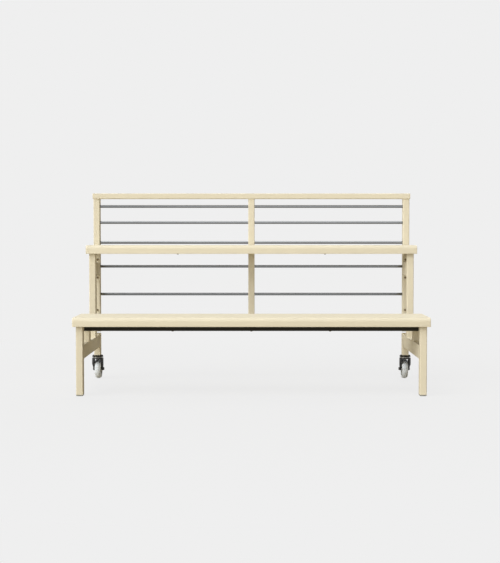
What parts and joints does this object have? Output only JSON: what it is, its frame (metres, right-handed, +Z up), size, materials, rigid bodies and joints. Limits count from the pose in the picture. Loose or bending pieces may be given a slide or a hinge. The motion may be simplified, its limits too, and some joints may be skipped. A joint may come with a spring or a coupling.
{
  "type": "convertible picnic table bench",
  "caption": "Steel bench with a rolled-edge seat board on a wheeled tube base, and a lift-off frame that carries a table board and a back of level rods.",
  "frame": {"origin": "on the floor, under the middle of the bench's outer box", "axes": "+X along the boards, -Y the side that the seat's front edge faces, +Z up"},
  "size_m": [1.8, 0.86, 1.043],
  "materials": {
    "frame_paint": "satin powder coat",
    "board_paint": "satin powder coat",
    "cream_plastic": "moulded",
    "black_steel": "black coat",
    "stainless_tube": "polished stainless",
    "zinc_steel": "bright zinc",
    "dark_bolts": "black oxide",
    "grey_plastic": "moulded",
    "grey_rubber": "soft grey tread",
    "black_rubber": "moulded"
  },
  "bodies": {
    "base": {"front_leg_left": "frame_paint", "front_leg_right": "frame_paint", "foot_glide_left": "grey_plastic", "foot_glide_right": "grey_plastic", "seat_rear_post_left": "frame_paint", "seat_rear_post_right": "frame_paint", "low_rail_left": "frame_paint", "low_rail_right": "frame_paint", "seat_bearer_left": "frame_paint", "seat_bearer_right": "frame_paint", "caster_post_left": "frame_paint", "caster_post_right": "frame_paint", "spigot_left": "zinc_steel", "spigot_right": "zinc_steel", "caster_cup_left": "black_steel", "caster_cup_right": "black_steel", "caster_post_caps": "cream_plastic", "seat_board": "board_paint", "seat_beam": "black_steel", "seat_stiffeners": "frame_paint", "seat_screws": "dark_bolts", "bearing_rings": "zinc_steel", "kingpins": "zinc_steel"},
    "table_frame": {"table_leg_left": "frame_paint", "table_leg_right": "frame_paint", "table_bearer_left": "frame_paint", "table_bearer_right": "frame_paint", "upper_side_rail_left": "frame_paint", "upper_side_rail_right": "frame_paint", "mid_side_rail_left": "frame_paint", "mid_side_rail_right": "frame_paint", "flange_plates_left": "frame_paint", "flange_plates_right": "frame_paint", "back_post_left": "frame_paint", "back_post_right": "frame_paint", "centre_post": "frame_paint", "post_buffers": "black_rubber", "top_rail": "frame_paint", "top_rail_caps": "cream_plastic", "bottom_rail": "frame_paint", "rod_1": "stainless_tube", "rod_2": "stainless_tube", "rod_3": "stainless_tube", "rod_4": "stainless_tube", "rod_5": "stainless_tube", "frame_bolts": "dark_bolts", "centre_bracket": "frame_paint", "table_board": "board_paint", "table_beam": "frame_paint", "table_stiffeners": "frame_paint", "table_screws": "dark_bolts"},
    "caster_fork_left": {"caster_fork_left": "black_steel", "caster_axle_left": "zinc_steel"},
    "caster_wheel_left": {"wheel_hub_left": "grey_plastic", "wheel_tyre_left": "grey_rubber"},
    "caster_fork_right": {"caster_fork_right": "black_steel", "caster_axle_right": "zinc_steel"},
    "caster_wheel_right": {"wheel_hub_right": "grey_plastic", "wheel_tyre_right": "grey_rubber"}
  },
  "joints": [
    {"name": "table_lift", "type": "slide", "parent": "base", "child": "table_frame", "axis": [0, 0, 1], "range_m": [0, 0.07]},
    {"name": "caster_swivel_left", "type": "hinge", "parent": "base", "child": "caster_fork_left", "pos_m": [-0.8665, 0.34, 0.11], "axis": [0, 0, 1], "continuous": true},
    {"name": "wheel_spin_left", "type": "hinge", "parent": "caster_fork_left", "child": "caster_wheel_left", "pos_m": [-0.8665, 0.376, 0.054], "axis": [1, 0, 0], "continuous": true},
    {"name": "caster_swivel_right", "type": "hinge", "parent": "base", "child": "caster_fork_right", "pos_m": [0.8665, 0.34, 0.11], "axis": [0, 0, 1], "continuous": true},
    {"name": "wheel_spin_right", "type": "hinge", "parent": "caster_fork_right", "child": "caster_wheel_right", "pos_m": [0.8665, 0.376, 0.054], "axis": [1, 0, 0], "continuous": true}
  ]
}
